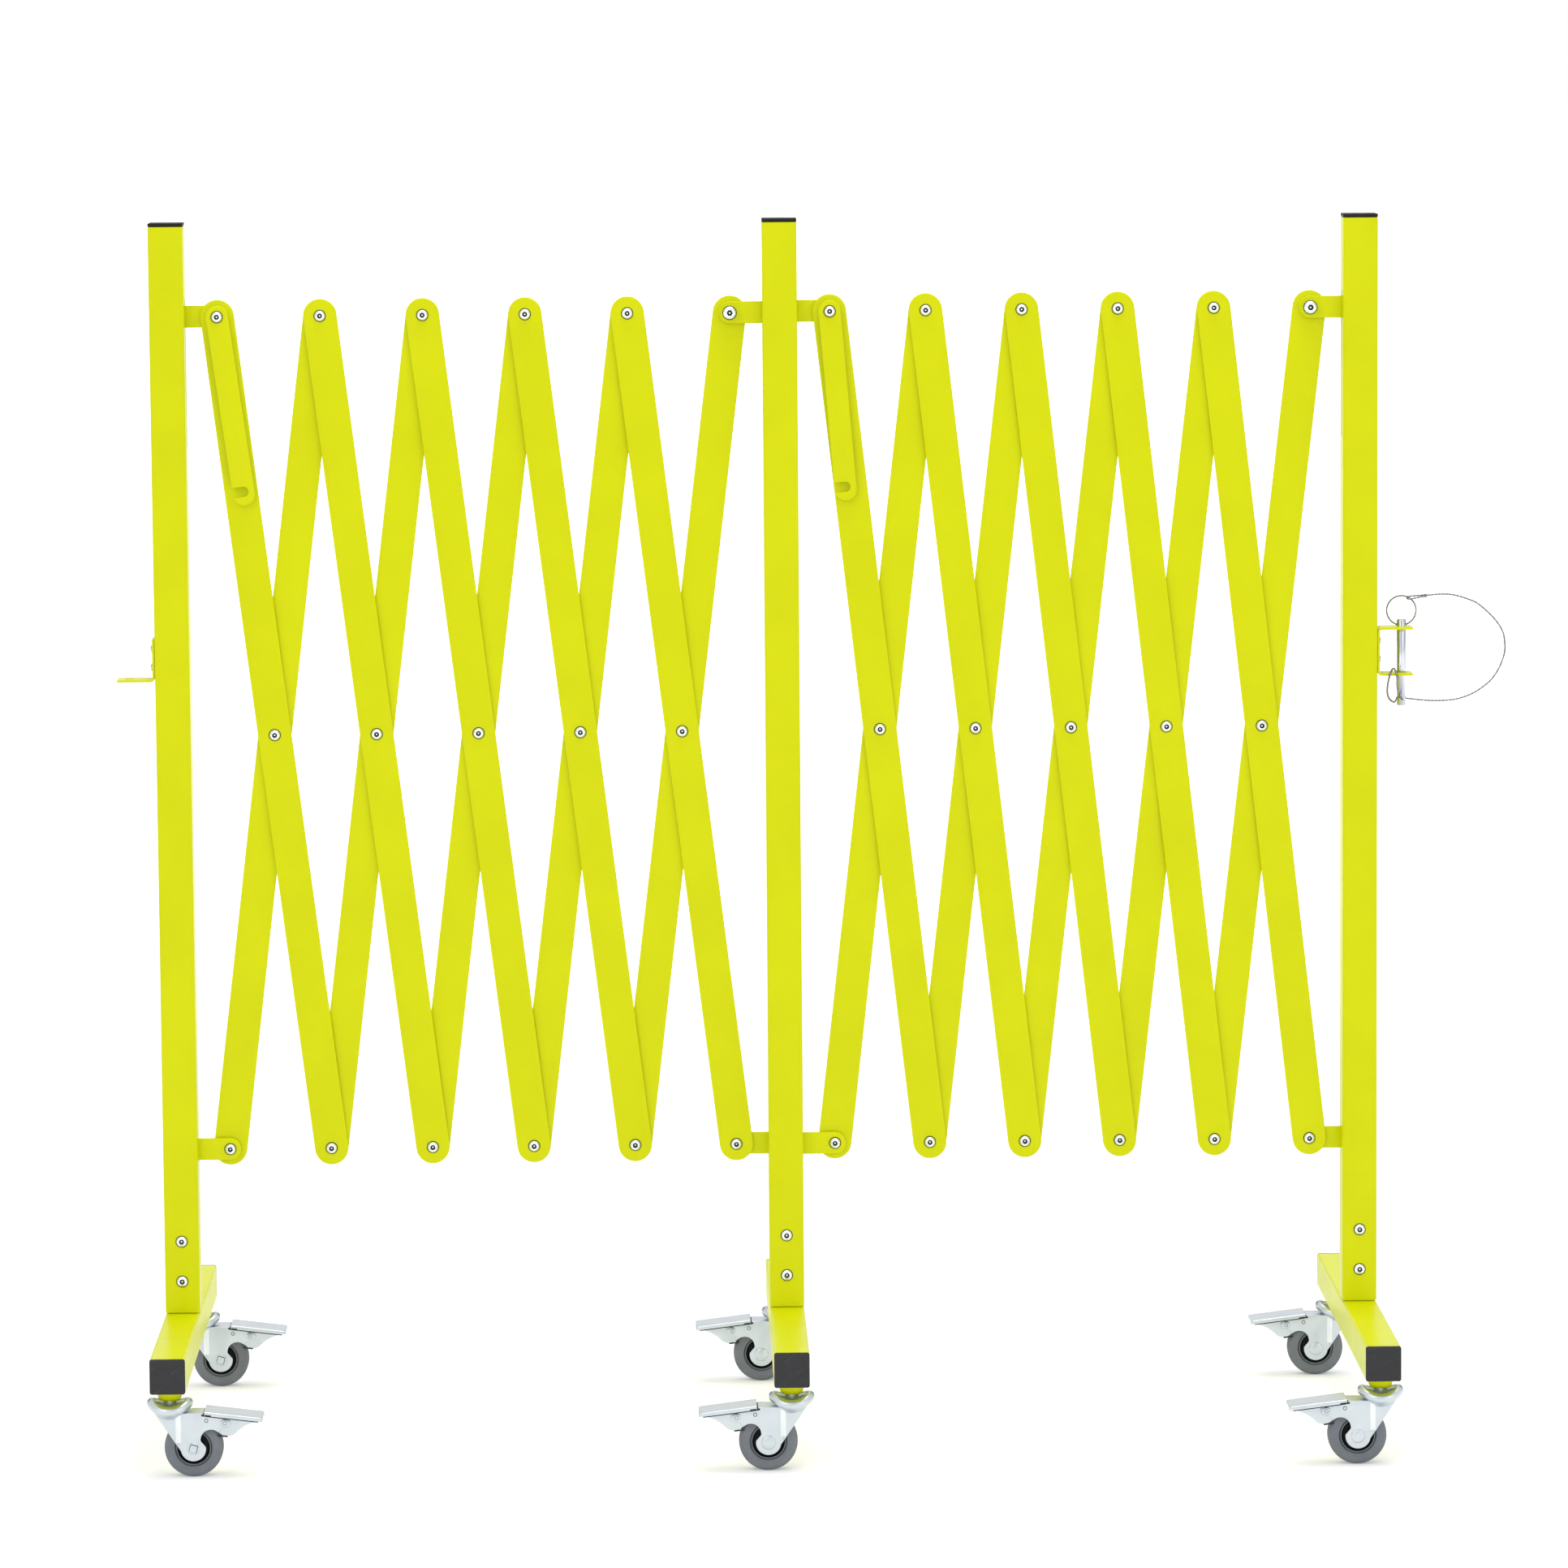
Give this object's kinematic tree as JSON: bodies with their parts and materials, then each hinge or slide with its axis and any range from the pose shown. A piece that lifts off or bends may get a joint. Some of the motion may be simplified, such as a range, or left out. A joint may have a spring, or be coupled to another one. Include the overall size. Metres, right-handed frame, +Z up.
{
  "type": "expandable safety barrier",
  "caption": "Expandable scissor-lattice safety barrier on braked swivel casters, with lock links and a pin coupling for the next barrier.",
  "frame": {"origin": "on the floor, under the middle of the whole barrier without its loose lanyard", "axes": "+X along the barrier from the receiver bracket's end to the coupling pin's end, +Y from the front of the legs to the rear, +Z up"},
  "size_m": [1.2036, 0.455, 1.0536],
  "materials": {
    "yellow_green_powder_coat": "satin fluorescent powder coat",
    "zinc_plated_steel": "bright zinc plating",
    "grey_rubber_tyre": "matt grey rubber tyre on a black hub",
    "black_moulded_plastic": "matt moulded plastic"
  },
  "bodies": {
    "centre_stand": {"centre_post": "yellow_green_powder_coat", "centre_leg": "yellow_green_powder_coat", "centre_post_cap": "black_moulded_plastic"},
    "left_stand": {"left_post": "yellow_green_powder_coat", "left_leg": "yellow_green_powder_coat", "left_post_cap": "black_moulded_plastic", "receiver_bracket": "yellow_green_powder_coat"},
    "right_stand": {"right_post": "yellow_green_powder_coat", "right_leg": "yellow_green_powder_coat", "right_post_cap": "black_moulded_plastic", "clevis_bracket": "yellow_green_powder_coat"},
    "left_front_slat_1": {"left_front_slat_1": "yellow_green_powder_coat"},
    "left_front_slat_2": {"left_front_slat_2": "yellow_green_powder_coat"},
    "left_front_slat_3": {"left_front_slat_3": "yellow_green_powder_coat"},
    "left_front_slat_4": {"left_front_slat_4": "yellow_green_powder_coat"},
    "left_front_slat_5": {"left_front_slat_5": "yellow_green_powder_coat"},
    "left_rear_slat_1": {"left_rear_slat_1": "yellow_green_powder_coat"},
    "left_rear_slat_2": {"left_rear_slat_2": "yellow_green_powder_coat"},
    "left_rear_slat_3": {"left_rear_slat_3": "yellow_green_powder_coat"},
    "left_rear_slat_4": {"left_rear_slat_4": "yellow_green_powder_coat"},
    "left_rear_slat_5": {"left_rear_slat_5": "yellow_green_powder_coat"},
    "left_section_left_arm": {"left_section_left_arm": "yellow_green_powder_coat"},
    "left_section_right_arm": {"left_section_right_arm": "yellow_green_powder_coat"},
    "left_lock_link": {"left_lock_link": "yellow_green_powder_coat"},
    "right_front_slat_1": {"right_front_slat_1": "yellow_green_powder_coat"},
    "right_front_slat_2": {"right_front_slat_2": "yellow_green_powder_coat"},
    "right_front_slat_3": {"right_front_slat_3": "yellow_green_powder_coat"},
    "right_front_slat_4": {"right_front_slat_4": "yellow_green_powder_coat"},
    "right_front_slat_5": {"right_front_slat_5": "yellow_green_powder_coat"},
    "right_rear_slat_1": {"right_rear_slat_1": "yellow_green_powder_coat"},
    "right_rear_slat_2": {"right_rear_slat_2": "yellow_green_powder_coat"},
    "right_rear_slat_3": {"right_rear_slat_3": "yellow_green_powder_coat"},
    "right_rear_slat_4": {"right_rear_slat_4": "yellow_green_powder_coat"},
    "right_rear_slat_5": {"right_rear_slat_5": "yellow_green_powder_coat"},
    "right_section_left_arm": {"right_section_left_arm": "yellow_green_powder_coat"},
    "right_section_right_arm": {"right_section_right_arm": "yellow_green_powder_coat"},
    "right_lock_link": {"right_lock_link": "yellow_green_powder_coat"},
    "left_front_caster_fork": {"left_front_caster_fork": "zinc_plated_steel"},
    "left_front_wheel": {"left_front_wheel": "grey_rubber_tyre"},
    "left_front_brake_pedal": {"left_front_brake_pedal": "zinc_plated_steel"},
    "left_rear_caster_fork": {"left_rear_caster_fork": "zinc_plated_steel"},
    "left_rear_wheel": {"left_rear_wheel": "grey_rubber_tyre"},
    "left_rear_brake_pedal": {"left_rear_brake_pedal": "zinc_plated_steel"},
    "centre_front_caster_fork": {"centre_front_caster_fork": "zinc_plated_steel"},
    "centre_front_wheel": {"centre_front_wheel": "grey_rubber_tyre"},
    "centre_front_brake_pedal": {"centre_front_brake_pedal": "zinc_plated_steel"},
    "centre_rear_caster_fork": {"centre_rear_caster_fork": "zinc_plated_steel"},
    "centre_rear_wheel": {"centre_rear_wheel": "grey_rubber_tyre"},
    "centre_rear_brake_pedal": {"centre_rear_brake_pedal": "zinc_plated_steel"},
    "right_front_caster_fork": {"right_front_caster_fork": "zinc_plated_steel"},
    "right_front_wheel": {"right_front_wheel": "grey_rubber_tyre"},
    "right_front_brake_pedal": {"right_front_brake_pedal": "zinc_plated_steel"},
    "right_rear_caster_fork": {"right_rear_caster_fork": "zinc_plated_steel"},
    "right_rear_wheel": {"right_rear_wheel": "grey_rubber_tyre"},
    "right_rear_brake_pedal": {"right_rear_brake_pedal": "zinc_plated_steel"},
    "coupling_pin": {"coupling_pin": "zinc_plated_steel", "pull_ring": "zinc_plated_steel", "lanyard_eye": "zinc_plated_steel", "lanyard": "zinc_plated_steel"},
    "spring_clip": {"spring_clip": "zinc_plated_steel"}
  },
  "joints": [
    {"name": "left_fold", "type": "hinge", "parent": "centre_stand", "child": "left_front_slat_5", "pos_m": [-0.031, 0, 0.248], "axis": [0, -1, 0], "range_deg": [-4.55, 24.43]},
    {"name": "left_rear_slat_5_pivot", "type": "hinge", "parent": "left_front_slat_5", "child": "left_rear_slat_5", "pos_m": [-0.0751, 0, 0.61033], "axis": [0, 1, 0], "range_deg": [-9.11, 48.86]},
    {"name": "left_front_slat_4_pivot", "type": "hinge", "parent": "left_rear_slat_5", "child": "left_front_slat_4", "pos_m": [-0.1192, 0, 0.248], "axis": [0, -1, 0], "range_deg": [-9.11, 48.86]},
    {"name": "left_rear_slat_4_pivot", "type": "hinge", "parent": "left_front_slat_4", "child": "left_rear_slat_4", "pos_m": [-0.1633, 0, 0.61033], "axis": [0, 1, 0], "range_deg": [-9.11, 48.86]},
    {"name": "left_front_slat_3_pivot", "type": "hinge", "parent": "left_rear_slat_4", "child": "left_front_slat_3", "pos_m": [-0.2074, 0, 0.248], "axis": [0, -1, 0], "range_deg": [-9.11, 48.86]},
    {"name": "left_rear_slat_3_pivot", "type": "hinge", "parent": "left_front_slat_3", "child": "left_rear_slat_3", "pos_m": [-0.2515, 0, 0.61033], "axis": [0, 1, 0], "range_deg": [-9.11, 48.86]},
    {"name": "left_front_slat_2_pivot", "type": "hinge", "parent": "left_rear_slat_3", "child": "left_front_slat_2", "pos_m": [-0.2956, 0, 0.248], "axis": [0, -1, 0], "range_deg": [-9.11, 48.86]},
    {"name": "left_rear_slat_2_pivot", "type": "hinge", "parent": "left_front_slat_2", "child": "left_rear_slat_2", "pos_m": [-0.3397, 0, 0.61033], "axis": [0, 1, 0], "range_deg": [-9.11, 48.86]},
    {"name": "left_front_slat_1_pivot", "type": "hinge", "parent": "left_rear_slat_2", "child": "left_front_slat_1", "pos_m": [-0.3838, 0, 0.248], "axis": [0, -1, 0], "range_deg": [-9.11, 48.86]},
    {"name": "left_rear_slat_1_pivot", "type": "hinge", "parent": "left_front_slat_1", "child": "left_rear_slat_1", "pos_m": [-0.4279, 0, 0.61033], "axis": [0, 1, 0], "range_deg": [-9.11, 48.86]},
    {"name": "left_stand_pivot", "type": "hinge", "parent": "left_rear_slat_1", "child": "left_stand", "pos_m": [-0.472, 0, 0.248], "axis": [0, -1, 0], "range_deg": [-4.55, 24.43]},
    {"name": "left_section_right_arm_pivot", "type": "hinge", "parent": "left_rear_slat_5", "child": "left_section_right_arm", "pos_m": [-0.031, 0, 0.97265], "axis": [0, -1, 0], "range_deg": [-4.55, 24.43]},
    {"name": "left_section_left_arm_pivot", "type": "hinge", "parent": "left_front_slat_1", "child": "left_section_left_arm", "pos_m": [-0.472, 0, 0.97265], "axis": [0, 1, 0], "range_deg": [-4.55, 24.43]},
    {"name": "left_lock_link_pivot", "type": "hinge", "parent": "left_front_slat_1", "child": "left_lock_link", "pos_m": [-0.472, 0, 0.97265], "axis": [0, -1, 0], "range_deg": [-5, 86.75]},
    {"name": "right_fold", "type": "hinge", "parent": "centre_stand", "child": "right_rear_slat_1", "pos_m": [0.055, 0, 0.248], "axis": [0, 1, 0], "range_deg": [-4.13, 24.85]},
    {"name": "right_front_slat_1_pivot", "type": "hinge", "parent": "right_rear_slat_1", "child": "right_front_slat_1", "pos_m": [0.09645, 0, 0.61064], "axis": [0, -1, 0], "range_deg": [-8.27, 49.7]},
    {"name": "right_rear_slat_2_pivot", "type": "hinge", "parent": "right_front_slat_1", "child": "right_rear_slat_2", "pos_m": [0.1379, 0, 0.248], "axis": [0, 1, 0], "range_deg": [-8.27, 49.7]},
    {"name": "right_front_slat_2_pivot", "type": "hinge", "parent": "right_rear_slat_2", "child": "right_front_slat_2", "pos_m": [0.17935, 0, 0.61064], "axis": [0, -1, 0], "range_deg": [-8.27, 49.7]},
    {"name": "right_rear_slat_3_pivot", "type": "hinge", "parent": "right_front_slat_2", "child": "right_rear_slat_3", "pos_m": [0.2208, 0, 0.248], "axis": [0, 1, 0], "range_deg": [-8.27, 49.7]},
    {"name": "right_front_slat_3_pivot", "type": "hinge", "parent": "right_rear_slat_3", "child": "right_front_slat_3", "pos_m": [0.26225, 0, 0.61064], "axis": [0, -1, 0], "range_deg": [-8.27, 49.7]},
    {"name": "right_rear_slat_4_pivot", "type": "hinge", "parent": "right_front_slat_3", "child": "right_rear_slat_4", "pos_m": [0.3037, 0, 0.248], "axis": [0, 1, 0], "range_deg": [-8.27, 49.7]},
    {"name": "right_front_slat_4_pivot", "type": "hinge", "parent": "right_rear_slat_4", "child": "right_front_slat_4", "pos_m": [0.34515, 0, 0.61064], "axis": [0, -1, 0], "range_deg": [-8.27, 49.7]},
    {"name": "right_rear_slat_5_pivot", "type": "hinge", "parent": "right_front_slat_4", "child": "right_rear_slat_5", "pos_m": [0.3866, 0, 0.248], "axis": [0, 1, 0], "range_deg": [-8.27, 49.7]},
    {"name": "right_front_slat_5_pivot", "type": "hinge", "parent": "right_rear_slat_5", "child": "right_front_slat_5", "pos_m": [0.42805, 0, 0.61064], "axis": [0, -1, 0], "range_deg": [-8.27, 49.7]},
    {"name": "right_stand_pivot", "type": "hinge", "parent": "right_front_slat_5", "child": "right_stand", "pos_m": [0.4695, 0, 0.248], "axis": [0, 1, 0], "range_deg": [-4.13, 24.85]},
    {"name": "right_section_left_arm_pivot", "type": "hinge", "parent": "right_front_slat_1", "child": "right_section_left_arm", "pos_m": [0.055, 0, 0.97328], "axis": [0, 1, 0], "range_deg": [-4.13, 24.85]},
    {"name": "right_section_right_arm_pivot", "type": "hinge", "parent": "right_rear_slat_5", "child": "right_section_right_arm", "pos_m": [0.4695, 0, 0.97328], "axis": [0, -1, 0], "range_deg": [-4.13, 24.85]},
    {"name": "right_lock_link_pivot", "type": "hinge", "parent": "right_front_slat_1", "child": "right_lock_link", "pos_m": [0.055, 0, 0.97328], "axis": [0, -1, 0], "range_deg": [-4, 89.33]},
    {"name": "left_front_swivel", "type": "hinge", "parent": "left_stand", "child": "left_front_caster_fork", "pos_m": [-0.515, -0.1985, 0.065], "axis": [0, 0, 1], "continuous": true},
    {"name": "left_front_wheel_spin", "type": "hinge", "parent": "left_front_caster_fork", "child": "left_front_wheel", "pos_m": [-0.495, -0.1985, 0.025], "axis": [0, 1, 0], "continuous": true},
    {"name": "left_front_brake", "type": "hinge", "parent": "left_front_caster_fork", "child": "left_front_brake_pedal", "pos_m": [-0.468, -0.1985, 0.047], "axis": [0, 1, 0], "range_deg": [0, 15]},
    {"name": "left_rear_swivel", "type": "hinge", "parent": "left_stand", "child": "left_rear_caster_fork", "pos_m": [-0.515, 0.1985, 0.065], "axis": [0, 0, 1], "continuous": true},
    {"name": "left_rear_wheel_spin", "type": "hinge", "parent": "left_rear_caster_fork", "child": "left_rear_wheel", "pos_m": [-0.495, 0.1985, 0.025], "axis": [0, 1, 0], "continuous": true},
    {"name": "left_rear_brake", "type": "hinge", "parent": "left_rear_caster_fork", "child": "left_rear_brake_pedal", "pos_m": [-0.468, 0.1985, 0.047], "axis": [0, 1, 0], "range_deg": [0, 15]},
    {"name": "centre_front_swivel", "type": "hinge", "parent": "centre_stand", "child": "centre_front_caster_fork", "pos_m": [0.012, -0.1985, 0.065], "axis": [0, 0, 1], "continuous": true},
    {"name": "centre_front_wheel_spin", "type": "hinge", "parent": "centre_front_caster_fork", "child": "centre_front_wheel", "pos_m": [-0.008, -0.1985, 0.025], "axis": [0, 1, 0], "continuous": true},
    {"name": "centre_front_brake", "type": "hinge", "parent": "centre_front_caster_fork", "child": "centre_front_brake_pedal", "pos_m": [-0.035, -0.1985, 0.047], "axis": [0, -1, 0], "range_deg": [0, 15]},
    {"name": "centre_rear_swivel", "type": "hinge", "parent": "centre_stand", "child": "centre_rear_caster_fork", "pos_m": [0.012, 0.1985, 0.065], "axis": [0, 0, 1], "continuous": true},
    {"name": "centre_rear_wheel_spin", "type": "hinge", "parent": "centre_rear_caster_fork", "child": "centre_rear_wheel", "pos_m": [-0.008, 0.1985, 0.025], "axis": [0, 1, 0], "continuous": true},
    {"name": "centre_rear_brake", "type": "hinge", "parent": "centre_rear_caster_fork", "child": "centre_rear_brake_pedal", "pos_m": [-0.035, 0.1985, 0.047], "axis": [0, -1, 0], "range_deg": [0, 15]},
    {"name": "right_front_swivel", "type": "hinge", "parent": "right_stand", "child": "right_front_caster_fork", "pos_m": [0.5125, -0.1985, 0.065], "axis": [0, 0, 1], "continuous": true},
    {"name": "right_front_wheel_spin", "type": "hinge", "parent": "right_front_caster_fork", "child": "right_front_wheel", "pos_m": [0.4925, -0.1985, 0.025], "axis": [0, 1, 0], "continuous": true},
    {"name": "right_front_brake", "type": "hinge", "parent": "right_front_caster_fork", "child": "right_front_brake_pedal", "pos_m": [0.4655, -0.1985, 0.047], "axis": [0, -1, 0], "range_deg": [0, 15]},
    {"name": "right_rear_swivel", "type": "hinge", "parent": "right_stand", "child": "right_rear_caster_fork", "pos_m": [0.5125, 0.1985, 0.065], "axis": [0, 0, 1], "continuous": true},
    {"name": "right_rear_wheel_spin", "type": "hinge", "parent": "right_rear_caster_fork", "child": "right_rear_wheel", "pos_m": [0.4925, 0.1985, 0.025], "axis": [0, 1, 0], "continuous": true},
    {"name": "right_rear_brake", "type": "hinge", "parent": "right_rear_caster_fork", "child": "right_rear_brake_pedal", "pos_m": [0.4655, 0.1985, 0.047], "axis": [0, -1, 0], "range_deg": [0, 15]},
    {"name": "pin_lift", "type": "slide", "parent": "right_stand", "child": "coupling_pin", "axis": [0, 0, 1], "range_m": [0, 0.06], "deforming": ["lanyard"]},
    {"name": "clip_pull", "type": "slide", "parent": "coupling_pin", "child": "spring_clip", "axis": [0, -1, 0], "range_m": [0, 0.0721]}
  ],
  "couplings": [
    {"joint": "left_rear_slat_5_pivot", "follows": "left_fold", "ratio": 2},
    {"joint": "left_front_slat_4_pivot", "follows": "left_fold", "ratio": 2},
    {"joint": "left_rear_slat_4_pivot", "follows": "left_fold", "ratio": 2},
    {"joint": "left_front_slat_3_pivot", "follows": "left_fold", "ratio": 2},
    {"joint": "left_rear_slat_3_pivot", "follows": "left_fold", "ratio": 2},
    {"joint": "left_front_slat_2_pivot", "follows": "left_fold", "ratio": 2},
    {"joint": "left_rear_slat_2_pivot", "follows": "left_fold", "ratio": 2},
    {"joint": "left_front_slat_1_pivot", "follows": "left_fold", "ratio": 2},
    {"joint": "left_rear_slat_1_pivot", "follows": "left_fold", "ratio": 2},
    {"joint": "left_stand_pivot", "follows": "left_fold", "ratio": 1},
    {"joint": "left_section_right_arm_pivot", "follows": "left_fold", "ratio": 1},
    {"joint": "left_section_left_arm_pivot", "follows": "left_fold", "ratio": 1},
    {"joint": "right_front_slat_1_pivot", "follows": "right_fold", "ratio": 2},
    {"joint": "right_rear_slat_2_pivot", "follows": "right_fold", "ratio": 2},
    {"joint": "right_front_slat_2_pivot", "follows": "right_fold", "ratio": 2},
    {"joint": "right_rear_slat_3_pivot", "follows": "right_fold", "ratio": 2},
    {"joint": "right_front_slat_3_pivot", "follows": "right_fold", "ratio": 2},
    {"joint": "right_rear_slat_4_pivot", "follows": "right_fold", "ratio": 2},
    {"joint": "right_front_slat_4_pivot", "follows": "right_fold", "ratio": 2},
    {"joint": "right_rear_slat_5_pivot", "follows": "right_fold", "ratio": 2},
    {"joint": "right_front_slat_5_pivot", "follows": "right_fold", "ratio": 2},
    {"joint": "right_stand_pivot", "follows": "right_fold", "ratio": 1},
    {"joint": "right_section_left_arm_pivot", "follows": "right_fold", "ratio": 1},
    {"joint": "right_section_right_arm_pivot", "follows": "right_fold", "ratio": 1},
    {"joint": "clip_pull", "follows": "pin_lift", "ratio": 1.2}
  ]
}
